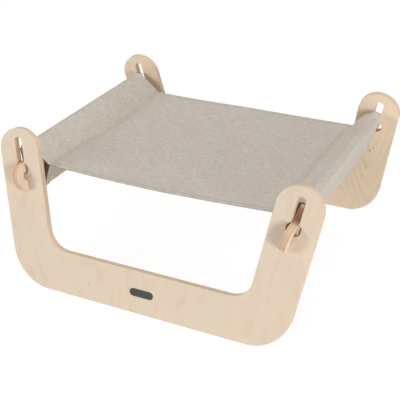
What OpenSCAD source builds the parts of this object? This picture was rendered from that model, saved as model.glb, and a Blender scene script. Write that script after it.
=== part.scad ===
// Cat hammock that stands on the floor. Two U-shaped plywood frames lean towards each other.
// Two crossboards hook into keyholes in their uprights, and a sewn cloth hangs between the boards.
// X runs across the hammock, Y from the front frame to the rear one, and Z up from the floor.

/* [Plywood] */
// Thickness of the plywood that the frames and crossboards are cut from
ply_t = 10; // [8:0.5:12]
// Clear gap between pieces that bear on each other
fit_gap = 0.3; // [0.2:0.05:0.5]

/* [Frames] */
// Distance between the frames' outer faces at the floor
foot_span = 446; // [380:1:560]
// Width of a frame across its outer edges at the floor, before its corners are rounded
frame_w = 428; // [400:1:520]
// Height of the centre of an upright's round top, up the board
upright_rise = 207; // [190:1:260]
// Width of an upright
upright_w = 66; // [56:1:76]
// Height of the bottom rail, up the board
rail_h = 66; // [50:1:80]
// Radius of the outer bottom corners
outer_corner_r = 66; // [30:1:70]
// Radius of the inner bottom corners
inner_corner_r = 33; // [10:1:40]
// Angle by which each upright splays outwards
splay = 9.8; // [6:0.2:13]
// Angle by which each frame leans inwards
lean = 10; // [6:0.5:14]
// Depth of the flat that is planed along the bottom edge for the floor
foot_trim = 0.3; // [0.1:0.1:1]

/* [Keyholes] */
// Play of a crossboard across the slot
slot_play = 2; // [1.5:0.25:3]
// Reach of the slot above the centre of the upright's round top
slot_reach = 20; // [16:1:24]
// Drop of the hole's centre below the centre of the round top
keyhole_drop = 27; // [24:1:34]
// Width of the hole at the slot's foot
keyhole_w = 22.2; // [21:0.2:26]
// Height of the hole, which is flattened and has round ends
keyhole_h = 18; // [17:0.5:21]
// Direction from the round end's centre to the neck's seat, measured from straight down the upright
seat_angle = 35; // [32:1:40]

/* [Crossboards] */
// Width of a crossboard, from its top edge to its bottom edge
crossboard_w = 66; // [60:1:80]
// Distance from the crossboard's top edge down to its neck
neck_drop = 18.3; // [14:0.1:24]
// Height of the neck that passes through the slot
neck_h = 16; // [14:0.5:20]
// Drop of the hook's centre below the neck
hook_drop = 4; // [2:0.25:5]
// Radius of the half-round hook
hook_r = 20; // [17:0.5:24]
// Radius of the relief at the hook's centre, in which the frame rocks
relief_r = 6; // [5.5:0.25:8]

/* [Cloth] */
// Thickness of the cloth
cloth_t = 1.5; // [0.8:0.1:2]
// Length of bare crossboard at each end of a sleeve
bare_end = 10; // [6:0.5:20]
// Reach of a sleeve's seam inwards from the crossboard's inner face
pocket_reach = 25.1; // [12:0.1:30]
// Drop of the seam below the crossboard's top edge
seam_drop = 33.6; // [28:0.1:44]
// Sag of the panel's front edge
front_sag = 5; // [2:0.5:20]
// Sag of the panel's rear edge
rear_sag = 3.5; // [1:0.1:20]
// Width of the hems folded under the front and rear edges
hem_w = 9; // [6:0.5:14]

/* [Badge] */
// Length of the plain badge on the front rail
badge_w = 38; // [26:1:60]
// Height of the badge
badge_h = 12; // [9:0.5:18]
// Thickness of the badge
badge_t = 0.8; // [0.5:0.1:2]
// Distance of the badge from the middle of the rail, positive to the right
badge_x = -3; // [-60:1:60]

/* [Hidden] */
$fn = 96;

// Points of a frame's outline, drawn up the board from the middle of its bottom edge
function outer_edge(v) = frame_w / 2 + v * tan(splay);
function inner_edge(v) = outer_edge(v) - upright_w / cos(splay);
across = [cos(splay), -sin(splay)];
top_c = [outer_edge(upright_rise) - upright_w / 2 / cos(splay), upright_rise];
outer_c = [outer_edge(outer_corner_r) - outer_corner_r / cos(splay), outer_corner_r];
inner_rise = rail_h + inner_corner_r;
inner_c = [inner_edge(inner_rise) - inner_corner_r / cos(splay), inner_rise];
right_half = [
    [outer_c.x, 0],
    outer_c + outer_corner_r * across,
    top_c + upright_w / 2 * across,
    top_c - upright_w / 2 * across,
    inner_c + inner_corner_r * across,
    [inner_c.x, rail_h],
];
left_half = [for (i = [len(right_half) - 1:-1:0]) [-right_half[i].x, right_half[i].y]];

// Where the neck seats, across and up the upright from the hole's centre: its foot bears on the wall of
// the hole's round end, and its inner face on the corner between hole and slot. That corner is lowest on
// the frame's inner face, and it sets how far the crossboard tilts
slot_w = ply_t + slot_play;
lean_drop = ply_t * tan(lean);
end_r = keyhole_h / 2;
end_x = keyhole_w / 2 - end_r;
neck_foot = [-end_x, 0] + (end_r - fit_gap) * [-sin(seat_angle), -cos(seat_angle)];
slot_corner = [-slot_w / 2, sqrt(pow(end_r, 2) - pow(slot_w / 2 - end_x, 2))]
    + lean_drop * [sin(splay), -cos(splay)];
to_corner = slot_corner - neck_foot;
neck_turn = atan2(to_corner.x, to_corner.y) + asin(fit_gap / norm(to_corner));
seat_tilt = splay + neck_turn;
tilt = atan(tan(seat_tilt) / cos(lean));

// Centre of the neck, across and up the board, and then in the part's frame
up = [sin(splay), cos(splay)];
seat = top_c + (neck_foot.y - keyhole_drop) * up + neck_foot.x * across;
neck_c = seat + neck_h / 2 * [sin(seat_tilt), cos(seat_tilt)]
    + ply_t / 2 * [cos(seat_tilt), -sin(seat_tilt)];
neck_x = neck_c.x;
neck_z = neck_c.y * cos(lean) - foot_trim;

// A crossboard's outline, drawn along Y and up the board from the centre of its neck
board_top = neck_h / 2 + neck_drop;
board_bottom = board_top - crossboard_w;
hook_z = -neck_h / 2 - hook_drop;
hook_slope = atan(tan(lean) * cos(tilt));
face_skew = ply_t / 2 * sin(tilt) * tan(lean);
function outer_face(r) = foot_span / 2 - (neck_z + r * cos(tilt) + foot_trim) * tan(lean);
function inner_face(r) = outer_face(r) - ply_t / cos(lean);
function hook_edge(r) = outer_face(r) + fit_gap + face_skew;
function shoulder_edge(r) = inner_face(r) - fit_gap - face_skew;

// The frames rock level with the hooks' centres, midway through the plywood. The crossboard's shoulder
// stops a frame both ways: above stop_r when it leans, and below stop_r when it stands upright
shoulder_y = shoulder_edge(board_top);
stop_y = outer_face(hook_z) - ply_t / 2 * (1 + cos(lean)) - fit_gap;
stop_r = (shoulder_edge(0) - stop_y) / tan(hook_slope);
right_end = [[stop_y, board_bottom], [stop_y, stop_r], [shoulder_y, board_top]];
left_end = [for (i = [len(right_end) - 1:-1:0]) [-right_end[i].x, right_end[i].y]];

// The cloth's places: the sleeve's section is drawn across and up the crossboard from the neck's centre
cloth_l = 2 * (shoulder_y - bare_end);
seam = [-ply_t / 2 - pocket_reach, board_top - seam_drop];
sleeve_loop = [
    [-ply_t / 2, board_top],
    [ply_t / 2, board_top],
    [ply_t / 2, board_bottom],
    [-ply_t / 2, board_bottom],
    seam,
];
sleeve_r = fit_gap + cloth_t;
seam_x = neck_x + seam.x * cos(tilt) + seam.y * sin(tilt);
seam_z = neck_z - seam.x * sin(tilt) + seam.y * cos(tilt);
panel_x = seam_x - sleeve_r - fit_gap;
panel_steps = [24, 8];
hem_steps = [24, 1];
corner_steps = 6;

// Right-hand and left-hand copies of a shape in a frame's outline
module both_sides() {
    children();
    mirror([1, 0]) children();
}

// Part of a disc between two directions less than a half turn apart
module sector(r, from, to) {
    mid = (from + to) / 2;
    reach = r / cos((to - from) / 2);
    intersection() {
        circle(r);
        polygon([
            [0, 0],
            2 * r * [cos(from), sin(from)],
            2 * reach * [cos(mid), sin(mid)],
            2 * r * [cos(to), sin(to)],
        ]);
    }
}

// Half of a disc, above its straight edge
module half_disc(r) {
    intersection() {
        circle(r);
        translate([-2 * r, 0]) square([4 * r, 2 * r]);
    }
}

// Long shape with round ends
module obround(w, h) {
    straight = w - h;
    square([straight, h], center = true);
    both_sides() translate([straight / 2, 0]) rotate(-90) half_disc(h / 2);
}

// Slot with a round top end and a flattened hole at its foot, about the centre of the round top
module keyhole() {
    rise = slot_reach - slot_w / 2;
    translate([-slot_w / 2, -keyhole_drop]) square([slot_w, keyhole_drop + rise]);
    translate([0, rise]) circle(slot_w / 2);
    translate([0, -keyhole_drop]) obround(keyhole_w, keyhole_h);
}

module frame_outline() {
    difference() {
        union() {
            polygon(concat(right_half, left_half));
            both_sides() translate(outer_c) sector(outer_corner_r, -90, -splay);
            both_sides() translate(top_c) rotate(-splay) half_disc(upright_w / 2);
        }
        both_sides() translate(inner_c) sector(inner_corner_r, -90, -splay);
        both_sides() translate(top_c) rotate(-splay) keyhole();
    }
}

// Places a shape drawn on the front frame's outer face, with its thickness going inwards
module on_front_frame() {
    translate([0, -foot_span / 2, -foot_trim]) rotate([90 - lean, 0, 0]) children();
}

// One leaning frame, planed flat where it meets the floor
module frame_board() {
    difference() {
        on_front_frame() translate([0, 0, -ply_t]) linear_extrude(ply_t) frame_outline();
        translate([-frame_w / 2, -foot_span, -ply_t]) cube([frame_w, foot_span, ply_t]);
    }
}

// The neck, the half-round hook and its relief at one end of a crossboard
module board_end() {
    difference() {
        union() {
            polygon([
                [shoulder_y - neck_h, neck_h / 2],
                [shoulder_y - neck_h, -neck_h / 2],
                [hook_edge(-neck_h / 2) + fit_gap, -neck_h / 2],
                [hook_edge(neck_h / 2) + fit_gap, neck_h / 2],
            ]);
            translate([hook_edge(hook_z), hook_z]) rotate(hook_slope - 90) half_disc(hook_r);
        }
        translate([hook_edge(hook_z), hook_z]) circle(relief_r);
    }
}

module board_outline() {
    polygon(concat(right_end, left_end));
    both_sides() board_end();
}

// Places a shape drawn about the neck's centre on the right-hand crossboard's tilted plane
module on_right_board() {
    translate([neck_x, 0, neck_z]) rotate([0, tilt, 0]) children();
}

module crossboard() {
    on_right_board() rotate([90, 0, 90]) linear_extrude(ply_t, center = true) board_outline();
}

// Outline at a fixed distance around a convex loop, with arcs at its corners
function turn_of(a, b) = atan2(b.y - a.y, b.x - a.x) + 90;
function swing(from, to) = to - from - 360 * ceil((to - from) / 360);
function around(loop, r) = [
    for (i = [0:len(loop) - 1])
        let(
            count = len(loop),
            start = turn_of(loop[(i + count - 1) % count], loop[i]),
            sweep = swing(start, turn_of(loop[i], loop[(i + 1) % count]))
        )
        for (k = [0:corner_steps])
            let(a = start + sweep * k / corner_steps)
            loop[i] + r * [cos(a), sin(a)]
];

// Sewn tube of cloth around a crossboard, drawn in to its seam
module sleeve() {
    on_right_board() rotate([90, 0, 0]) linear_extrude(cloth_l, center = true) difference() {
        polygon(around(sleeve_loop, sleeve_r));
        polygon(around(sleeve_loop, fit_gap));
    }
}

// Height of the cloth's underside, which sags between the seams
function cloth_z(x, y) =
    let(rear_share = y / cloth_l + 1 / 2)
    seam_z - cloth_t / 2
        - (front_sag + (rear_sag - front_sag) * rear_share) * (1 - (x / panel_x) * (x / panel_x));

// Sheet that follows the sag from front to rear, its underside a given drop below the cloth's
module sagging_sheet(front_y, rear_y, drop, steps) {
    nx = steps.x;
    ny = steps.y;
    row = nx + 1;
    layer = row * (ny + 1);
    points = [
        for (lift = [0, cloth_t], j = [0:ny], i = [0:nx])
            let(
                x = panel_x * (2 * i / nx - 1),
                y = front_y + (rear_y - front_y) * j / ny
            )
            [x, y, cloth_z(x, y) - drop + lift]
    ];
    under = [for (j = [0:ny - 1], i = [0:nx - 1]) let(a = j * row + i)
        each [[a, a + 1, a + row + 1], [a, a + row + 1, a + row]]];
    over = [for (f = under) [f[0] + layer, f[2] + layer, f[1] + layer]];
    rim = concat(
        [for (i = [0:nx - 1]) i],
        [for (j = [0:ny - 1]) j * row + nx],
        [for (i = [nx:-1:1]) ny * row + i],
        [for (j = [ny:-1:1]) j * row]
    );
    sides = [for (k = [0:len(rim) - 1]) let(a = rim[k], b = rim[(k + 1) % len(rim)])
        each [[a, b + layer, b], [a, a + layer, b + layer]]];
    polyhedron(points, concat(under, over, sides));
}

module front_frame() {
    color("wheat") frame_board();
}

module rear_frame() {
    color("wheat") mirror([0, 1, 0]) frame_board();
}

module left_crossboard() {
    color("burlywood") mirror([1, 0, 0]) crossboard();
}

module right_crossboard() {
    color("burlywood") crossboard();
}

module left_sleeve() {
    color("darkgray") mirror([1, 0, 0]) sleeve();
}

module right_sleeve() {
    color("darkgray") sleeve();
}

module hammock_panel() {
    color("silver") sagging_sheet(-cloth_l / 2, cloth_l / 2, 0, panel_steps);
}

module front_hem() {
    color("darkgray") sagging_sheet(-cloth_l / 2, hem_w - cloth_l / 2, cloth_t + fit_gap, hem_steps);
}

module rear_hem() {
    color("darkgray") sagging_sheet(cloth_l / 2 - hem_w, cloth_l / 2, cloth_t + fit_gap, hem_steps);
}

module badge() {
    color("dimgray") on_front_frame() translate([badge_x, rail_h / 2, 0])
        linear_extrude(badge_t) obround(badge_w, badge_h);
}

front_frame();
rear_frame();
left_crossboard();
right_crossboard();
left_sleeve();
right_sleeve();
hammock_panel();
front_hem();
rear_hem();
badge();
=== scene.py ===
import math

import bpy
import numpy as np
from mathutils import Matrix, Vector


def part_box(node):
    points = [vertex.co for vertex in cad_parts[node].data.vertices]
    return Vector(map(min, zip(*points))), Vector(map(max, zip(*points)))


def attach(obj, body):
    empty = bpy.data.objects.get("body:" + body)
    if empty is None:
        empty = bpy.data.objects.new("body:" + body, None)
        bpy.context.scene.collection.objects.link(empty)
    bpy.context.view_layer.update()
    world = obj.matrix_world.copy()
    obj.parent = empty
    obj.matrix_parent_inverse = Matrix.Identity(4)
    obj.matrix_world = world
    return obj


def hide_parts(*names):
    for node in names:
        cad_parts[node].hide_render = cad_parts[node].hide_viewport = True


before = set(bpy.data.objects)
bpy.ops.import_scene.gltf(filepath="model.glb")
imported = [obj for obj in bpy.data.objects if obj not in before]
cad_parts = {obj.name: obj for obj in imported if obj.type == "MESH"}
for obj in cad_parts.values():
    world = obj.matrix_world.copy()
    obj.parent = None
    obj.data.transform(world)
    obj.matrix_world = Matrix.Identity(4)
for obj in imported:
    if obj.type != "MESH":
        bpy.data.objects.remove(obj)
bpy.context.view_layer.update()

# Lengths are in metres and angles in degrees. X runs across the hammock, Y from the front frame to the
# rear one, and Z up from the floor. The scales of noises are per metre: across the grain or the cloth,
# along it, and through it.

# Camera, as fitted to the photograph
VIEW_AZIMUTH = 25.819
VIEW_ELEVATION = 27.919
VIEW_ROLL = 0.257
VIEW_PLACE = Vector((0.5434, -1.1524, 0.7559))
LENS = 81.377
SENSOR = 36.0

# Light: soft boxes before the hammock on either side, beside, behind and above it, and an even surround
AIM = Vector((0, 0, 0.12))
BOX_LIGHTS = {
    "left_box": {"place": Vector((-1.27, -1.61, 0.75)), "size": 0.6, "power": 16.5},
    "right_box": {"place": Vector((1.62, -1.28, 0.38)), "size": 0.6, "power": 18.5},
    "side_box": {"place": Vector((2.3, -0.1, 0.25)), "size": 0.5, "power": 12},
    "back_box": {"place": Vector((0.4, 2.0, 0.9)), "size": 0.9, "power": 7},
    "top_box": {"place": Vector((-0.1, 0.05, 2.15)), "size": 1.1, "power": 25},
}
SURROUND = 0.11
MAX_BOUNCES = 16
DIFFUSE_BOUNCES = 12

# Floor: the tone that lights the object from below, then the glow and the shaded tone that the camera sees
FLOOR_SIZE = 40.0
FLOOR_TONE = 0.85
FLOOR_GLOW = 0.95
FLOOR_SHADE = 0.10

# Boards, and the easing of their edges
PLY = 0.010
PLY_LAYERS = 7
LEAN = 10.0
FOOT_SPAN = 0.446
BOARD_W = 0.066
MERGE = 0.00015
FLAT_ANGLE = 0.5
EDGE_ANGLE = 40.0
EASED_EDGE = 0.0010
EASE_STEPS = 2

# Figure of nested U shapes: width and rise of a U, step from line to line, drift of the lines, sharpness
FLAME_W = 0.1025
FLAME_RISE = 0.060
FLAME_STEP = 0.035
FLAME_DRIFT = 0.030
FLAME_SHARP = 2.5
FLAME_WANDER = (30, 9, 1)
FLAME_FADE = {"scale": (18, 12, 1), "window": (0.38, 0.62), "detail": 1.0}

# Figure of wandering loops: the hills that the loops go round, rings on a hill, sharpness
WILD_HILLS = (16, 6, 1)
WILD_RINGS = 8
WILD_SHARP = 6
WILD_FADE = {"scale": (30, 20, 1), "window": (0.38, 0.62), "detail": 1.0}

# Tones of the veneer and the plies. A noise's patches fade in over its window, and share is their strength.
BLOTCH = {"scale": (22, 9, 1), "window": (0.35, 0.75), "share": 0.6}
FLECK = {"scale": (520, 120, 1), "window": (0.66, 0.80), "share": 0.35}
FIBRE = (1500, 60, 1)
FIBRE_WINDOW = (0.3, 0.7)
FIBRE_SHARE = 0.11
FIBRE_REACH = (0.2, 0.8)
PLY_ROUGHNESS = (0.50, 0.66)
PLY_WANDER = (60, 60, 60)
PLY_WAVE = 0.45
PLY_DRIFT = (35, 35, 35)
DRIFT_WINDOW = (0.3, 0.7)
LEAST_ROSY = 0.5
GLUE_WINDOW = (0.36, 0.5)
GLUE_SHARE = 0.45
GRIT = {"scale": (600, 600, 600), "window": (0.45, 0.75), "share": 0.25}
FACE_WINDOW = (0.45, 0.75)

# Knots on the front frame's outer face and the rear one's inner face: across, up from the foot, strength
FRONT_KNOTS = [(-0.090, 0.026, 0.5)]
PIN_KNOTS = [
    (0.205, 0.132, 0.8),
    (0.200, 0.098, 0.4),
    (0.194, 0.079, 0.35),
    (0.192, 0.070, 0.25),
    (0.211, 0.140, 0.3),
]
KNOT_W = 0.0036
KNOT_H = 0.0060
KNOT_CORE = 0.3

# Oval patch let into the front frame's veneer: place, size, straight lines, and rim in shares of the oval
PATCH_ACROSS = 0.143
PATCH_UP = 0.036
PATCH_W = 0.034
PATCH_H = 0.058
PATCH_LINES = {"scale": (420, 14, 1), "window": (0.4, 0.7), "share": 0.6}
PATCH_EDGE = 0.96
RIM_PLACE = 0.98
RIM_W = 0.05
RIM_SHARE = 0.9

# Distance that keeps knots and patch off a board's other face, where 1 is an oval's rim
OTHER_FACE = 10.0

# Cloth: thickness here and in the solids, gaps between layers, seams and bends of its section, hems
CLOTH_T = 0.0010
SOLID_T = 0.0015
LAYER_GAP = 0.00012
SLEEVE_GAP = 0.0003
SEAM_LAP = 0.014
SEAM_BEND = 0.004
CORNER_BEND = 0.0012
LAP_BEND = 0.0016
SEAM_SHIFT = 0.0020
HEM_W = 0.009
HEM_FADE = 0.006

# Sag of the panel: along its edges, in its middle besides, place of the deepest point, powers of the fall
FRONT_SAG = 0.0034
REAR_SAG = 0.0027
DISH = 0.005
SAG_SIDE = -0.010
FRONT_LEFT_POWER = 2.0
FRONT_RIGHT_POWER = 1.5
REAR_LEFT_POWER = 3.0
REAR_RIGHT_POWER = 1.6

# Slack of the seams, which are drawn in and hang low in the middle, of the cloth's ends and of the sleeves
SEAM_BOW = 0.0046
SEAM_DIP = 0.0046
SLACK_MIDDLE = 0.045
SLACK_REACH = 0.195
SEAM_FALL = 0.0010
SEAM_LIFT = 0.0007
FRONT_SKEW = 0.004
FRONT_RISE = 0.0012
REAR_FLARE = 0.0045
FLARE_L = 0.070
FRONT_TUCK = 0.006
TUCK_SHARES = [0, 1, 0.8, 0.8]
REAR_REACH = 0.0045
REACH_SHARES = [0, 0.6, 1, 0.8, 0]
SLEEVE_BULGE = 0.0012
REAR_BULGE = 0.0033
BULGE_POWER = 0.8

# Ripples of the slack panel: height, then two waves, as radians per metre across and along, and phase
RIPPLES = [
    (0.0006, (42, 17, 0.6), (-14, 23, 0)),
    (0.0004, (75, -38, 0), (20, 31, math.pi / 2)),
]

# Fading of the ripples: from a share of the way to the seam on, and between two distances from the ends
RIPPLE_SHARE = 0.75
RIPPLE_END = 0.015
RIPPLE_FADE = 0.070

# Steps of the cloth's mesh
PANEL_STEP = 0.004
FINE_STEP = 0.001
BEND_STEP = 0.0004
ARC_STEPS = 6
FOLD_STEPS = 6

# Thread and stitches: arch and sink are shares of the thread's radius, rows are measured from seam or edge
THREAD_R = 0.00025
THREAD_SIDES = 6
STITCH_L = 0.0030
STITCH_GAP = 0.0008
STITCH_POINTS = 5
STITCH_ARCH = 1.2
STITCH_SINK = 0.5
HEM_ROW = 0.0072
SEAM_ROWS = (0.0022, 0.0072)

# Dents that rows of stitches press in: width, depth, and the puckers' beat and drift in radians per metre
DENT_W = 0.0012
SEAM_DENT = 0.00009
SEAM_PUCKER = (620, 71)
HEM_DENT = 0.00015
HEM_PUCKER = (560, 63)
PUCKER_SHARE = 0.35
PUCKER_DRIFT = 2


# Places that follow the frame
def board_section():
    """Tilt and middle of the right-hand crossboard's section, from the box that the board fills."""
    low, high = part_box("right_crossboard")
    span = high - low
    tilt = math.asin((span.x * BOARD_W - span.z * PLY) / (BOARD_W**2 - PLY**2))
    middle = (low + high) / 2
    return tilt, complex(middle.x, middle.z)


BOARD_TILT, BOARD_MIDDLE = board_section()
PANEL_LOW, PANEL_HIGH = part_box("hammock_panel")
SLEEVE_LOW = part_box("right_sleeve")[0]
CLOTH_L = PANEL_HIGH.y - PANEL_LOW.y
SEAM_X = (PANEL_HIGH.x + SLEEVE_LOW.x) / 2 + SEAM_SHIFT
SEAM_Z = PANEL_HIGH.z - SOLID_T / 2


# Camera, light and floor
def place_camera():
    camera = bpy.data.objects.new("camera", bpy.data.cameras.new("camera"))
    bpy.context.scene.collection.objects.link(camera)
    turn = Matrix.Rotation(math.radians(VIEW_AZIMUTH), 4, "Z")
    tip = Matrix.Rotation(math.radians(90 - VIEW_ELEVATION), 4, "X")
    roll = Matrix.Rotation(math.radians(-VIEW_ROLL), 4, "Z")
    camera.matrix_world = Matrix.Translation(VIEW_PLACE) @ turn @ tip @ roll
    camera.data.sensor_width = SENSOR
    camera.data.lens = LENS
    bpy.context.scene.camera = camera


def box_light(name, place, size, power):
    data = bpy.data.lights.new(name, "AREA")
    data.size = size
    data.energy = power
    light = bpy.data.objects.new(name, data)
    light.location = place
    light.rotation_euler = (AIM - place).to_track_quat("-Z", "Y").to_euler()
    bpy.context.scene.collection.objects.link(light)


class Shader:
    """Node tree of a material or the world, with short names for the nodes that are used often."""

    def __init__(self, tree):
        self.tree = tree
        tree.nodes.clear()

    def add(self, kind, inputs=None, **settings):
        made = self.tree.nodes.new(kind)
        for key, value in settings.items():
            setattr(made, key, value)
        for key, value in (inputs or {}).items():
            if isinstance(value, bpy.types.NodeSocket):
                self.tree.links.new(value, made.inputs[key])
            else:
                made.inputs[key].default_value = value
        return made

    def math(self, operation, a, b=0.0, clamp=False):
        return self.add("ShaderNodeMath", {0: a, 1: b}, operation=operation, use_clamp=clamp).outputs[0]

    def dot(self, vector, direction):
        made = self.add("ShaderNodeVectorMath", {0: vector, 1: direction}, operation="DOT_PRODUCT")
        return made.outputs["Value"]

    def vector(self, x, y, z=0.0):
        return self.add("ShaderNodeCombineXYZ", {0: x, 1: y, 2: z}).outputs[0]

    def stretched(self, vector, scale):
        return self.add("ShaderNodeVectorMath", {0: vector, 1: scale}, operation="MULTIPLY").outputs[0]

    def noise(self, vector, scale=1.0, detail=2.0, rough=0.5):
        inputs = {"Vector": vector, "Scale": scale, "Detail": detail, "Roughness": rough}
        return self.add("ShaderNodeTexNoise", inputs).outputs["Fac"]

    def spread(self, value, low, high, out_low=0.0, out_high=1.0, smooth=False):
        kind = "SMOOTHSTEP" if smooth else "LINEAR"
        inputs = {"Value": value, 1: low, 2: high, 3: out_low, 4: out_high}
        return self.add("ShaderNodeMapRange", inputs, interpolation_type=kind).outputs["Result"]

    def patches(self, vector, scale, window, share=1.0, detail=2.0):
        """Patches of a noise, from 0 below the window to share above it."""
        low, high = window
        return self.spread(self.noise(self.stretched(vector, scale), detail=detail), low, high, 0.0, share)

    def mix(self, share, a, b, blend="MIX"):
        inputs = {0: share, 6: a, 7: b}
        return self.add("ShaderNodeMix", inputs, data_type="RGBA", blend_type=blend).outputs[2]

    def seen_white(self):
        """1 for rays that look at a surface or mirror it, and 0 for rays that light the object."""
        path = self.add("ShaderNodeLightPath")
        mirrored = self.math("MAXIMUM", path.outputs["Is Glossy Ray"], path.outputs["Is Transmission Ray"])
        return self.math("MAXIMUM", path.outputs["Is Camera Ray"], mirrored)


def rgb(red, green, blue):
    """Linear colour of an sRGB triple from 0 to 255, as read on a screen."""
    linear = [((c / 255 + 0.055) / 1.055) ** 2.4 if c > 10 else c / 255 / 12.92 for c in (red, green, blue)]
    return (*linear, 1.0)


def make_surround():
    world = bpy.data.worlds.new("surround")
    bpy.context.scene.world = world
    world.use_nodes = True
    shader = Shader(world.node_tree)
    strength = shader.spread(shader.seen_white(), 0.0, 1.0, SURROUND, 1.0)
    light = shader.add("ShaderNodeBackground", {"Color": (1, 1, 1, 1), "Strength": strength})
    shader.add("ShaderNodeOutputWorld", {"Surface": light.outputs[0]})


def new_material(name):
    material = bpy.data.materials.new(name)
    material.use_nodes = True
    return material, Shader(material.node_tree)


def mesh_object(name, points, faces, material):
    mesh = bpy.data.meshes.new(name)
    mesh.from_pydata(points, [], faces)
    mesh.polygons.foreach_set("use_smooth", np.ones(len(mesh.polygons), dtype=bool))
    mesh.materials.append(material)
    made = bpy.data.objects.new(name, mesh)
    bpy.context.scene.collection.objects.link(made)
    return made


def make_floor():
    half = FLOOR_SIZE / 2
    corners = [(-half, -half, 0), (half, -half, 0), (half, half, 0), (-half, half, 0)]
    material, shader = new_material("white_floor")
    plain = shader.add("ShaderNodeBsdfDiffuse", {"Color": (FLOOR_TONE, FLOOR_TONE, FLOOR_TONE, 1)})
    shade = shader.add("ShaderNodeBsdfDiffuse", {"Color": (FLOOR_SHADE, FLOOR_SHADE, FLOOR_SHADE, 1)})
    glow = shader.add("ShaderNodeEmission", {"Color": (1, 1, 1, 1), "Strength": FLOOR_GLOW})
    seen = shader.add("ShaderNodeAddShader", {0: shade.outputs[0], 1: glow.outputs[0]})
    inputs = {0: shader.seen_white(), 1: plain.outputs[0], 2: seen.outputs[0]}
    surface = shader.add("ShaderNodeMixShader", inputs)
    shader.add("ShaderNodeOutputMaterial", {"Surface": surface.outputs[0]})
    floor = mesh_object("floor", corners, [(0, 1, 2, 3)], material)


def finish_material(shader, colour, roughness, height, depth, specular, sheen=0.0, sheer=0.0):
    """Surface with a fine relief, of which the share sheer lets light through."""
    bump = shader.add("ShaderNodeBump", {"Height": height, "Distance": depth, "Strength": 1.0})
    surface = shader.add("ShaderNodeBsdfPrincipled", {
        "Base Color": colour,
        "Roughness": roughness,
        "Normal": bump.outputs["Normal"],
        "Specular IOR Level": specular,
        "Sheen Weight": sheen,
    }).outputs[0]
    if sheer:
        through = shader.add("ShaderNodeBsdfTranslucent", {"Color": (1, 1, 1, 1)}).outputs[0]
        surface = shader.add("ShaderNodeMixShader", {0: sheer, 1: surface, 2: through}).outputs[0]
    shader.add("ShaderNodeOutputMaterial", {"Surface": surface})


# Plywood
VENEER = rgb(224, 208, 188)
VENEER_LINE = rgb(206, 168, 134)
VENEER_WARM = rgb(229, 208, 180)
PLY_PALE = rgb(224, 200, 172)
PLY_ROSY = rgb(202, 158, 128)
PLY_GLUE = rgb(120, 74, 48)
FRONT_TINT = (1.0, 1.0, 1.0, 1.0)
# Painted light: the rear frame's veneer is tinted lighter and warmer than the front frame's, for light that
# it lacks
REAR_PAINTED_LIGHT = (1.12, 1.11, 1.08, 1.0)
BOARD_TINT = (1.03, 0.97, 0.88, 1.0)
KNOT = rgb(128, 84, 54)


def oval(shader, at, across, up, width, height):
    """Distance from an oval's middle on a board's marked face: 1 on the rim, large on the other face."""
    over, along, depth = at
    sideways = shader.math("DIVIDE", shader.math("SUBTRACT", over, across), width / 2)
    upwards = shader.math("DIVIDE", shader.math("SUBTRACT", along, up), height / 2)
    behind = shader.math("MULTIPLY", shader.math("LESS_THAN", depth, 0.0), OTHER_FACE)
    inputs = {0: shader.vector(sideways, upwards, behind)}
    return shader.add("ShaderNodeVectorMath", inputs, operation="LENGTH").outputs["Value"]


# Figures of the veneer, all called alike: spot is where the noises look, and at is the place on the board
def wild_lines(shader, spot, at):
    """Faint lines of the figure, in long wandering loops as rotary-cut veneer has them."""
    hill = shader.noise(shader.stretched(spot, WILD_HILLS), detail=1.5, rough=0.35)
    wave = shader.math("COSINE", shader.math("MULTIPLY", hill, 2 * math.pi * WILD_RINGS))
    line = shader.math("POWER", shader.spread(wave, -1.0, 1.0), WILD_SHARP)
    return shader.math("MULTIPLY", line, shader.patches(spot, **WILD_FADE))


def patched_lines(shader, spot, at):
    """Wandering lines round an oval patch, whose own lines run straight and whose rim shows."""
    reach = oval(shader, at, PATCH_ACROSS, PATCH_UP, PATCH_W, PATCH_H)
    inside = shader.spread(reach, PATCH_EDGE, 1.0, 1.0, 0.0)
    straight = shader.patches(spot, **PATCH_LINES)
    lines = shader.spread(inside, 0.0, 1.0, wild_lines(shader, spot, at), straight)
    off_rim = shader.math("ABSOLUTE", shader.math("SUBTRACT", reach, RIM_PLACE))
    return shader.math("MAXIMUM", lines, shader.spread(off_rim, 0.0, RIM_W, RIM_SHARE, 0.0))


def flame_lines(shader, spot, at):
    """Soft lines of the figure, in nested U shapes that open along the grain."""
    over, along = at[:2]
    swing = shader.math("COSINE", shader.math("MULTIPLY", over, 2 * math.pi / FLAME_W))
    drift = shader.noise(shader.stretched(spot, FLAME_WANDER))
    rise = shader.math("ADD", along, shader.math("MULTIPLY", swing, FLAME_RISE))
    rise = shader.math("ADD", rise, shader.math("MULTIPLY", drift, FLAME_DRIFT))
    wave = shader.math("COSINE", shader.math("MULTIPLY", rise, 2 * math.pi / FLAME_STEP))
    line = shader.math("POWER", shader.spread(wave, -1.0, 1.0), FLAME_SHARP)
    return shader.math("MULTIPLY", line, shader.patches(spot, **FLAME_FADE))


def veneer(shader, spot, at, lines, figure, knots):
    """Face of a board: lines of the figure, fine fibres, small flecks and pin knots."""
    fibre = shader.noise(shader.stretched(spot, FIBRE), detail=3.0, rough=0.6)
    face = shader.mix(shader.patches(spot, **BLOTCH), VENEER, VENEER_WARM)
    face = shader.mix(shader.math("MULTIPLY", lines(shader, spot, at), figure), face, VENEER_LINE)
    face = shader.mix(shader.spread(fibre, *FIBRE_WINDOW, 0.0, FIBRE_SHARE), face, VENEER_LINE)
    face = shader.mix(shader.patches(spot, **FLECK), face, VENEER_LINE)
    for across, up, strength in knots:
        reach = oval(shader, at, across, up, KNOT_W, KNOT_H)
        face = shader.mix(shader.spread(reach, KNOT_CORE, 1.0, strength, 0.0), face, KNOT)
    return face, fibre


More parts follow.
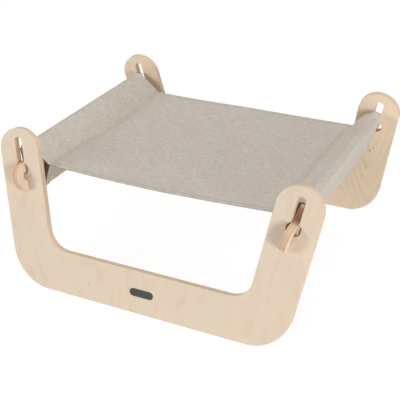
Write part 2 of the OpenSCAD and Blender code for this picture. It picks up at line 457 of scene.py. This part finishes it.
def ply_edges(shader, spot, depth, contrast, seed):
    """Edge of a board: pale and rosy plies by turns, each of its own tone, with thin glue lines between."""
    wander = shader.noise(shader.stretched(spot, PLY_WANDER))
    layer = shader.math("MULTIPLY", shader.math("ADD", shader.math("DIVIDE", depth, PLY), 0.5), PLY_LAYERS)
    layer = shader.math("ADD", layer, shader.spread(wander, 0.0, 1.0, -PLY_WAVE, PLY_WAVE))
    ply = shader.math("FLOOR", layer)
    inputs = {"W": shader.math("ADD", ply, seed)}
    chance = shader.add("ShaderNodeTexWhiteNoise", inputs, noise_dimensions="1D").outputs["Value"]
    drift = shader.noise(shader.stretched(spot, PLY_DRIFT))
    drift = shader.spread(drift, *DRIFT_WINDOW, LEAST_ROSY, 1.0)
    rosy = shader.math("MULTIPLY", shader.math("MODULO", ply, 2.0), drift)
    rosy = shader.math("MULTIPLY", rosy, shader.spread(chance, 0.0, 1.0, LEAST_ROSY, 1.0))
    edge = shader.mix(shader.math("MULTIPLY", rosy, contrast), PLY_PALE, PLY_ROSY)
    near = shader.math("ABSOLUTE", shader.math("SUBTRACT", shader.math("FRACT", layer), 0.5))
    edge = shader.mix(shader.spread(near, *GLUE_WINDOW, 0.0, GLUE_SHARE * contrast), edge, PLY_GLUE)
    return shader.mix(shader.patches(spot, **GRIT), edge, PLY_ROSY)


def plywood(name, axes, middle, tint, lines, figure, contrast, seed, knots=()):
    """Birch plywood of a board whose axes run across the grain, along it, and out of the marked face."""
    material, shader = new_material(name)
    place = shader.add("ShaderNodeTexCoord")
    inputs = {0: place.outputs["Object"], 1: middle}
    inside = shader.add("ShaderNodeVectorMath", inputs, operation="SUBTRACT").outputs[0]
    at = [shader.dot(inside, axis) for axis in axes]
    over, along, depth = at
    spot = shader.vector(over, along, shader.math("ADD", depth, seed))
    face, fibre = veneer(shader, spot, at, lines, figure, knots)
    edge = ply_edges(shader, spot, depth, contrast, seed)
    facing = shader.math("ABSOLUTE", shader.dot(place.outputs["Normal"], axes[2]))
    face = shader.mix(1.0, face, tint, "MULTIPLY")
    colour = shader.mix(shader.spread(facing, *FACE_WINDOW, smooth=True), edge, face)
    roughness = shader.spread(fibre, *FIBRE_REACH, *PLY_ROUGHNESS)
    finish_material(shader, colour, roughness, height=fibre, depth=0.00008, specular=0.3)
    return material


def ease_edges(node):
    """Rounds a board's sharp edges slightly, as sanding does."""
    weld = node.modifiers.new("weld", "WELD")
    weld.merge_threshold = MERGE
    flat = node.modifiers.new("flat_faces", "DECIMATE")
    flat.decimate_type = "DISSOLVE"
    flat.angle_limit = math.radians(FLAT_ANGLE)
    ease = node.modifiers.new("eased_edges", "BEVEL")
    ease.offset_type = "WIDTH"
    ease.width = EASED_EDGE
    ease.segments = EASE_STEPS
    ease.limit_method = "ANGLE"
    ease.angle_limit = math.radians(EDGE_ANGLE)
    ease.harden_normals = True


def dress(name, material):
    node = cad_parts[name]
    node.data.materials.clear()
    node.data.materials.append(material)
    return node


def dress_frames():
    lean = math.radians(LEAN)
    front = {"tint": FRONT_TINT, "lines": patched_lines, "figure": 0.2, "seed": 2.0, "knots": FRONT_KNOTS}
    # The rear frame's tint is painted light, which makes its veneer lighter and warmer than the front
    # frame's
    rear = {"tint": REAR_PAINTED_LIGHT, "lines": flame_lines, "figure": 0.34, "seed": 0.0, "knots": PIN_KNOTS}
    for name, side, look in (("front_frame", -1, front), ("rear_frame", 1, rear)):
        normal = Vector((0, side * math.cos(lean), math.sin(lean)))
        grain = Vector((0, -side * math.sin(lean), math.cos(lean)))
        middle = Vector((0, side * FOOT_SPAN / 2, 0)) - normal * PLY / 2
        axes = (Vector((1, 0, 0)), grain, -side * normal)
        ease_edges(dress(name, plywood(f"{name}_plywood", axes, middle, contrast=0.6, **look)))


def dress_boards():
    for name, side, seed in (("left_crossboard", -1, 1.3), ("right_crossboard", 1, 5.1)):
        normal = Vector((side * math.cos(BOARD_TILT), 0, -math.sin(BOARD_TILT)))
        up = Vector((side * math.sin(BOARD_TILT), 0, math.cos(BOARD_TILT)))
        middle = Vector((side * BOARD_MIDDLE.real, 0, BOARD_MIDDLE.imag))
        axes = (up, Vector((0, 1, 0)), normal)
        look = {"tint": BOARD_TINT, "lines": wild_lines, "figure": 0.25, "contrast": 1.8, "seed": seed}
        ease_edges(dress(name, plywood(f"{name}_plywood", axes, middle, **look)))


# Cloth
HEM_LIFT = CLOTH_T + LAYER_GAP


def on_board(across, up):
    """Point of the right-hand crossboard's section, from its middle."""
    return BOARD_MIDDLE + complex(across, up) * np.exp(-1j * BOARD_TILT)


def section_corners():
    """Corners of the right half of the cloth's section, from the panel's middle to the sewn-down lap."""
    reach = SLEEVE_GAP + CLOTH_T / 2
    half_t = PLY / 2 + reach
    half_w = BOARD_W / 2 + reach
    lap = HEM_LIFT / 2
    return [
        complex(0, SEAM_Z + lap),
        complex(SEAM_X, SEAM_Z + lap),
        on_board(-half_t, half_w),
        on_board(half_t, half_w),
        on_board(half_t, -half_w),
        on_board(-half_t, -half_w),
        complex(SEAM_X, SEAM_Z - lap),
        complex(SEAM_X - SEAM_LAP, SEAM_Z - lap),
    ]


def rounded_path(corners, bends):
    """Points and directions of a path whose corners are turned by arcs, and each arc's middle index."""
    points = [corners[0]]
    ways = [(corners[1] - corners[0]) / abs(corners[1] - corners[0])]
    middles = []
    for before, corner, after, radius in zip(corners, corners[1:], corners[2:], bends):
        way = (corner - before) / abs(corner - before)
        turn = np.angle((after - corner) / way)
        start = corner - way * radius * math.tan(abs(turn) / 2)
        centre = start + way * 1j * np.sign(turn) * radius
        middles.append(len(points) + ARC_STEPS // 2)
        for share in np.linspace(0, 1, ARC_STEPS + 1):
            spin = np.exp(1j * turn * share)
            points.append(centre + (start - centre) * spin)
            ways.append(way * spin)
    points.append(corners[-1])
    ways.append((corners[-1] - corners[-2]) / abs(corners[-1] - corners[-2]))
    return np.array(points), np.array(ways), middles


def smooth(value, low, high):
    share = np.clip((value - low) / (high - low), 0, 1)
    return share * share * (3 - 2 * share)


class Section:
    """The cloth's section across the hammock, by the distance s along it from the middle of the panel."""

    def __init__(self):
        bends = [SEAM_BEND, CORNER_BEND, CORNER_BEND, CORNER_BEND, CORNER_BEND, LAP_BEND]
        points, ways, middles = rounded_path(section_corners(), bends)
        run = np.concatenate([[0], np.cumsum(abs(np.diff(points)))])
        self.bends = run[middles]
        self.seam = self.bends[0]
        self.lap = self.bends[-1]
        self.half = run[-1]
        self.run = np.concatenate([-run[::-1], run[1:]])
        self.points = np.concatenate([-np.conj(points[::-1]), points[1:]])
        self.normals = 1j * np.concatenate([np.conj(ways[::-1]), ways[1:]])

    def at(self, s):
        """Points and normals of the section at distances s."""
        place = np.interp(s, self.run, self.points.real) + 1j * np.interp(s, self.run, self.points.imag)
        normal = np.interp(s, self.run, self.normals.real) + 1j * np.interp(s, self.run, self.normals.imag)
        return place, normal / abs(normal)

    def seam_share(self, s):
        """How far a point goes with its seam: wholly at seam and lap, not on the board or mid-panel."""
        marks = [0, self.seam, self.bends[1], self.bends[4], self.lap, self.half]
        shares = [0, 1, 0, 0, 1, 1 - (self.half - self.lap) / self.seam]
        return np.interp(abs(s), marks, shares)

    def low_share(self, s):
        """1 at the sleeve's outer lower corner, most of that along the lap, 0 on top and on the panel."""
        marks = [self.bends[2], self.bends[3], self.lap, self.half]
        return np.interp(abs(s), marks, TUCK_SHARES)

    def outer_share(self, s):
        """1 at the sleeve's outer lower corner, less either way from it, 0 on the panel and the lap."""
        return np.interp(abs(s), self.bends[1:], REACH_SHARES)

    def bulge(self, s, y):
        """How far the sleeve's slope between seam and board stands proud of a straight line."""
        share = np.clip((abs(s) - self.seam) / (self.bends[1] - self.seam), 0, 1)
        rear_right = smooth(y, 0, CLOTH_L / 2) * (s > 0)
        return (SLEEVE_BULGE + REAR_BULGE * rear_right) * np.sin(math.pi * share**BULGE_POWER)

    def hem_inside(self, s):
        """How far a hem's inner layer lies outside the plain section, to clear the panel, board and lap."""
        sleeve = smooth(abs(s), self.seam - SEAM_BEND, self.seam + SEAM_BEND)
        lap = smooth(abs(s), self.lap - SEAM_BEND, self.lap)
        return HEM_LIFT * (sleeve + lap - 1)


def sag(x, y):
    """Drop of the panel between its seams: a sag along its edges, and a dish in its middle besides."""
    back = y / CLOTH_L + 0.5
    depth = FRONT_SAG + (REAR_SAG - FRONT_SAG) * back
    left_power = FRONT_LEFT_POWER + (REAR_LEFT_POWER - FRONT_LEFT_POWER) * back
    right_power = FRONT_RIGHT_POWER + (REAR_RIGHT_POWER - FRONT_RIGHT_POWER) * back
    on_left = x < SAG_SIDE
    reach = np.clip(abs(x - SAG_SIDE) / np.where(on_left, SEAM_X + SAG_SIDE, SEAM_X - SAG_SIDE), 0, 1)
    edge_drop = depth * (1 - reach ** np.where(on_left, left_power, right_power))
    dish = DISH * (1 - reach**2) * (1 - (2 * y / CLOTH_L) ** 2)
    return edge_drop + dish


def settling(section, s, x, y):
    """Shift of a point of the evenly stretched sheet, as its seams draw in and its panel hangs slack."""
    side = np.sign(s)
    share = section.seam_share(s)
    back = 2 * y / CLOTH_L
    slack = np.cos(math.pi / 2 * np.clip((y - SLACK_MIDDLE) / SLACK_REACH, -1, 1)) ** 2
    drop = SEAM_DIP * slack + SEAM_FALL * back - SEAM_LIFT * side
    drop = drop - FRONT_RISE * (share * np.clip(-back, 0, 1)) ** 2
    skew = np.clip(0.5 - x / (2 * SEAM_X), 0, 1) * (0.5 - back / 2) ** 2
    rear_right = smooth(y, CLOTH_L / 2 - FLARE_L, CLOTH_L / 2) * (side > 0)
    shift_x = REAR_FLARE * rear_right * share - side * SEAM_BOW * slack * share
    tuck = FRONT_TUCK * section.low_share(s) * np.clip(-back, 0, 1)
    reach = REAR_REACH * section.outer_share(s) * np.clip(back, 0, 1) * (side > 0)
    return shift_x, tuck + reach - FRONT_SKEW * skew, -drop * share - sag(x, y)


def ripples(section, s, y):
    """Soft ripples of the panel, which fade out before its seams and its hems."""
    panel = 1 - smooth(abs(s), section.seam * RIPPLE_SHARE, section.seam)
    inner = 1 - smooth(abs(y), CLOTH_L / 2 - RIPPLE_FADE, CLOTH_L / 2 - RIPPLE_END)
    height = 0
    for peak, *waves in RIPPLES:
        first, second = [np.sin(across * s + along * y + phase) for across, along, phase in waves]
        height = height + peak * first * second
    return panel * inner * height


def dent(off, along, depth, pucker):
    """Puckered dent under a row of stitches, by the distance off the row and along it."""
    beat, drift = pucker
    beats = np.sin(along * beat + PUCKER_DRIFT * np.sin(along * drift))
    return np.exp(-((off / DENT_W) ** 2)) * depth * (1 + PUCKER_SHARE * beats)


def unevenness(section, s, y):
    """How far the cloth stands out of its plain section: ripples and bulge, less the stitches' dents."""
    result = ripples(section, s, y) + section.bulge(s, y)
    for row in SEAM_ROWS:
        result = result - dent(abs(s) - section.seam + row, y, SEAM_DENT, SEAM_PUCKER)
    return result - dent(abs(y) - CLOTH_L / 2 + HEM_ROW, s, HEM_DENT, HEM_PUCKER)


def stations(limit, coarse, zones):
    """Positions from -limit to limit, a coarse step apart but finer in the zones (middle, reach, step)."""
    marks = [np.linspace(-limit, limit, round(2 * limit / coarse) + 1)]
    for middle, reach, step in zones:
        fine = np.arange(middle - reach, middle + reach, step)
        marks += [fine, -fine]
    marks = np.unique(np.round(np.concatenate(marks), 5))
    marks = marks[abs(marks) <= limit]
    keep = np.concatenate([[True], np.diff(marks) > FINE_STEP / 4])
    return marks[keep]


def hem_rows():
    """Rows of the sheet from front to rear: y, and the fold's angle, 0 on the outside and pi under a hem."""
    turn = CLOTH_L / 2 - HEM_LIFT / 2
    outside = stations(turn, PANEL_STEP, [(turn - HEM_ROW, 2 * HEM_ROW, FINE_STEP)])
    under = np.arange(CLOTH_L / 2 - HEM_W, turn, FINE_STEP)
    angles = np.linspace(0, math.pi, FOLD_STEPS + 1)[1:]
    fold = turn + HEM_LIFT / 2 * np.sin(angles)
    rear_y = np.concatenate([fold, under[::-1]])
    rear_angle = np.concatenate([angles, np.full(len(under), math.pi)])
    y = np.concatenate([-rear_y[::-1], outside, rear_y])
    angle = np.concatenate([rear_angle[::-1], np.zeros(len(outside)), rear_angle])
    return y, angle


def sheet_points(section, s, y, angle):
    """Middle surface of the sheet on the grid of s by y."""
    place, normal = section.at(s)
    inside = section.hem_inside(s)[:, None]
    hemmed = smooth(abs(y), CLOTH_L / 2 - HEM_W - HEM_FADE, CLOTH_L / 2 - HEM_W)
    outer = (1 + np.cos(angle)) / 2
    lift = (inside + HEM_LIFT) * hemmed * outer + inside * (1 - outer)
    lift = lift + unevenness(section, s[:, None], y)
    shift_x, shift_y, shift_z = settling(section, s[:, None], place.real[:, None], y)
    x = place.real[:, None] + normal.real[:, None] * lift + shift_x
    z = place.imag[:, None] + normal.imag[:, None] * lift + shift_z
    return np.stack([x, y + shift_y, z], axis=-1)


def make_cloth(section, material):
    """One sheet, with hems under its front and rear edges and its sides lapped round the boards and sewn."""
    zones = [(bend, 1.5 * CORNER_BEND, BEND_STEP) for bend in section.bends]
    zones.append((section.seam, 2 * SEAM_ROWS[1], FINE_STEP))
    s = stations(section.half, PANEL_STEP, zones)
    y, angle = hem_rows()
    points = sheet_points(section, s, y, angle)
    rows = len(y)
    faces = [
        (i * rows + j, (i + 1) * rows + j, (i + 1) * rows + j + 1, i * rows + j + 1)
        for i in range(len(s) - 1)
        for j in range(rows - 1)
    ]
    cloth = mesh_object("sewn_cloth", points.reshape(-1, 3).tolist(), faces, material)
    steps = np.hypot(np.diff(y), HEM_LIFT / 2 * np.diff(np.cos(angle)))
    v = np.concatenate([[0], np.cumsum(steps)])
    flat = np.stack(np.broadcast_arrays(s[:, None], v, 0.0), axis=-1)
    cloth.data.attributes.new("flat", "FLOAT_VECTOR", "POINT").data.foreach_set("vector", flat.ravel())
    body = cloth.modifiers.new("thickness", "SOLIDIFY")
    body.thickness = CLOTH_T
    body.offset = 0
    return cloth, (float(s[-1] - s[0]), float(v[-1]))


# Linen: width of a yarn, noises of the yarns' thick and thin places, and the tones that these bring
LINEN_PALE = rgb(245, 237, 227)
LINEN_DARK = rgb(166, 156, 143)
LINEN_WARM = rgb(200, 186, 171)
YARN = 0.0008
YARN_ROUGH = 0.6
LENGTHWAYS = (680, 85, 1)
LENGTHWAYS_TONES = (0.05, 0.95)
CROSSWAYS = (75, 680, 1)
CROSSWAYS_TONE = 0.55
YARN_FLECK = (600, 600, 1)
YARN_FLECK_TONE = 0.4
CLOUD = {"scale": (26, 26, 1), "window": (0.35, 0.7), "share": 0.35, "detail": 3.0}
WEAVE_SHARE = 0.5

# Painted shade, brown, along the front fold: distance inside the fold, reach of its full and faded tone,
# share
FOLD_PAINTED_SHADE = rgb(128, 102, 88)
FOLD_INSIDE = 0.0004
FOLD_REACH = (0.0006, 0.0012)
FOLD_SHARE = 0.7


def linen():
    """Linen-look canvas: a plain weave of uneven grey and beige yarns, in the cloth's own flat measures."""
    material, shader = new_material("linen_canvas_weave")
    flat = shader.add("ShaderNodeAttribute", attribute_name="flat").outputs["Vector"]
    parts = shader.add("ShaderNodeSeparateXYZ", {0: flat})
    warp = shader.math("SINE", shader.math("MULTIPLY", parts.outputs[0], math.pi / YARN))
    weft = shader.math("SINE", shader.math("MULTIPLY", parts.outputs[1], math.pi / YARN))
    weave = shader.math("MULTIPLY", warp, weft)
    lengthways = shader.noise(shader.stretched(flat, LENGTHWAYS), rough=YARN_ROUGH)
    crossways = shader.noise(shader.stretched(flat, CROSSWAYS), rough=YARN_ROUGH)
    fleck = shader.noise(shader.stretched(flat, YARN_FLECK), rough=YARN_ROUGH)
    tone = shader.spread(lengthways, 0.0, 1.0, *LENGTHWAYS_TONES)
    tone = shader.math("ADD", tone, shader.spread(crossways, 0.0, 1.0, -CROSSWAYS_TONE, CROSSWAYS_TONE))
    fleck_tone = shader.spread(fleck, 0.0, 1.0, -YARN_FLECK_TONE, YARN_FLECK_TONE)
    tone = shader.math("ADD", tone, fleck_tone, clamp=True)
    colour = shader.mix(tone, LINEN_DARK, LINEN_PALE)
    colour = shader.mix(shader.patches(flat, **CLOUD), colour, LINEN_WARM)
    # Painted shade: a brown line along the front fold stands in for the fold's shadow
    off_fold = shader.math("ABSOLUTE", shader.math("SUBTRACT", parts.outputs[1], HEM_W - FOLD_INSIDE))
    colour = shader.mix(shader.spread(off_fold, *FOLD_REACH, FOLD_SHARE, 0.0), colour, FOLD_PAINTED_SHADE)
    slubs = shader.math("ADD", lengthways, crossways)
    height = shader.math("ADD", shader.math("MULTIPLY", weave, WEAVE_SHARE), slubs)
    look = {"roughness": 0.9, "depth": 0.00016, "specular": 0.15, "sheen": 0.08, "sheer": 0.15}
    finish_material(shader, colour, height=height, **look)
    return material


# Stitching
def stitch(path, normals):
    """One stitch: a short thread along a path, which rises out of the cloth and dips back into it."""
    count = len(path)
    sides = THREAD_SIDES
    way = path[-1] - path[0]
    way = way / np.linalg.norm(way)
    lift = np.sin(np.linspace(0, math.pi, count)) * STITCH_ARCH - STITCH_SINK
    points = []
    for place, normal, rise in zip(path, normals, lift):
        beside = np.cross(way, normal)
        centre = place + normal * rise * THREAD_R
        for k in range(sides):
            turn = 2 * math.pi * k / sides
            points.append(centre + THREAD_R * (math.cos(turn) * normal + math.sin(turn) * beside))
    faces = [
        (i * sides + k, i * sides + (k + 1) % sides, (i + 1) * sides + (k + 1) % sides, (i + 1) * sides + k)
        for i in range(count - 1)
        for k in range(sides)
    ]
    faces.append(tuple(range(sides))[::-1])
    faces.append(tuple((count - 1) * sides + k for k in range(sides)))
    return points, faces


def stitch_starts(low, high):
    return np.arange(low, high - STITCH_L, STITCH_L + STITCH_GAP)


def sewn_path(section, s, y, lift, side):
    """Points that lie lift above the middle of the sheet, with the normals of the side that they are on."""
    place, normal = section.at(s)
    shift_x, shift_y, shift_z = settling(section, s, place.real, y)
    spot = place + normal * lift
    path = np.stack([spot.real + shift_x, y + shift_y, spot.imag + shift_z], axis=-1)
    return path, side * np.stack([normal.real, np.zeros(len(s)), normal.imag], axis=-1)


def stitches_along_hem(section, y, outside):
    """Stitches of a hem, across the whole sheet, on its outer or its inner side."""
    side = 1 if outside else -1
    for start in stitch_starts(-section.half + SEAM_LAP, section.half - SEAM_LAP):
        s = start + np.linspace(0, STITCH_L, STITCH_POINTS)
        lift = section.hem_inside(s) + (HEM_LIFT if outside else 0) + side * CLOTH_T / 2
        lift = lift + unevenness(section, s, y)
        yield sewn_path(section, s, y, lift, side)


def stitches_along_seam(section, s, outside):
    """Stitches of a sleeve's seam, from the front edge to the rear one, above the panel or under the lap."""
    side = 1 if outside else -1
    for start in stitch_starts(-CLOTH_L / 2 + HEM_LIFT, CLOTH_L / 2 - HEM_LIFT):
        y = start + np.linspace(0, STITCH_L, STITCH_POINTS)
        row = np.full(len(y), s)
        if outside:
            lift = CLOTH_T / 2 + unevenness(section, row, y)
        else:
            lift = -HEM_LIFT - CLOTH_T / 2
        yield sewn_path(section, row, y, lift, side)


def make_stitching(section, material):
    rows = []
    for outside in (True, False):
        for y in (HEM_ROW - CLOTH_L / 2, CLOTH_L / 2 - HEM_ROW):
            rows.append(stitches_along_hem(section, y, outside))
        for row in SEAM_ROWS:
            for side in (-1, 1):
                rows.append(stitches_along_seam(section, side * (section.seam - row), outside))
    points, faces = [], []
    for row in rows:
        for path, normals in row:
            more, shape = stitch(path, normals)
            faces += [tuple(k + len(points) for k in face) for face in shape]
            points += [tuple(p) for p in more]
    return mesh_object("stitching", points, faces, material)


THREAD_DARK = rgb(172, 154, 138)
THREAD_PALE = rgb(202, 188, 172)
THREAD_TWIST = (2500, 2500, 2500)


def thread():
    """Spun sewing thread, a shade browner than the cloth."""
    material, shader = new_material("sewing_thread")
    place = shader.add("ShaderNodeTexCoord").outputs["Object"]
    twist = shader.noise(shader.stretched(place, THREAD_TWIST))
    colour = shader.mix(twist, THREAD_DARK, THREAD_PALE)
    finish_material(shader, colour, roughness=0.8, height=twist, depth=0.0001, specular=0.2)
    return material


# Badge
BADGE_DARK = rgb(52, 52, 50)
BADGE_PALE = rgb(70, 69, 66)
BADGE_CLOUD = (160, 160, 160)
BADGE_GRAIN = (1800, 1800, 1800)
BADGE_GRAIN_WINDOW = (0.3, 0.7)
BADGE_ROUGHNESS = (0.38, 0.55)


def dark_enamel():
    """Matt dark plate, left blank, with a fine cast grain and a slight change of tone."""
    material, shader = new_material("dark_badge_plate")
    place = shader.add("ShaderNodeTexCoord").outputs["Object"]
    grain = shader.noise(shader.stretched(place, BADGE_GRAIN), detail=3.0)
    cloud = shader.noise(shader.stretched(place, BADGE_CLOUD))
    colour = shader.mix(cloud, BADGE_DARK, BADGE_PALE)
    roughness = shader.spread(grain, *BADGE_GRAIN_WINDOW, *BADGE_ROUGHNESS)
    finish_material(shader, colour, roughness, height=grain, depth=0.00004, specular=0.45)
    return material


def main():
    scene = bpy.context.scene
    scene.view_settings.view_transform = "Standard"
    scene.cycles.max_bounces = MAX_BOUNCES
    scene.cycles.diffuse_bounces = DIFFUSE_BOUNCES
    place_camera()
    for name, light in BOX_LIGHTS.items():
        box_light(name, **light)
    make_surround()
    make_floor()
    dress_frames()
    dress_boards()
    ease_edges(dress("badge", dark_enamel()))
    section = Section()
    cloth, flat = make_cloth(section, linen())
    stitching = make_stitching(section, thread())
    for piece in (cloth, stitching):
        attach(piece, "hammock")
    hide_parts("hammock_panel", "left_sleeve", "right_sleeve", "front_hem", "rear_hem")


main()
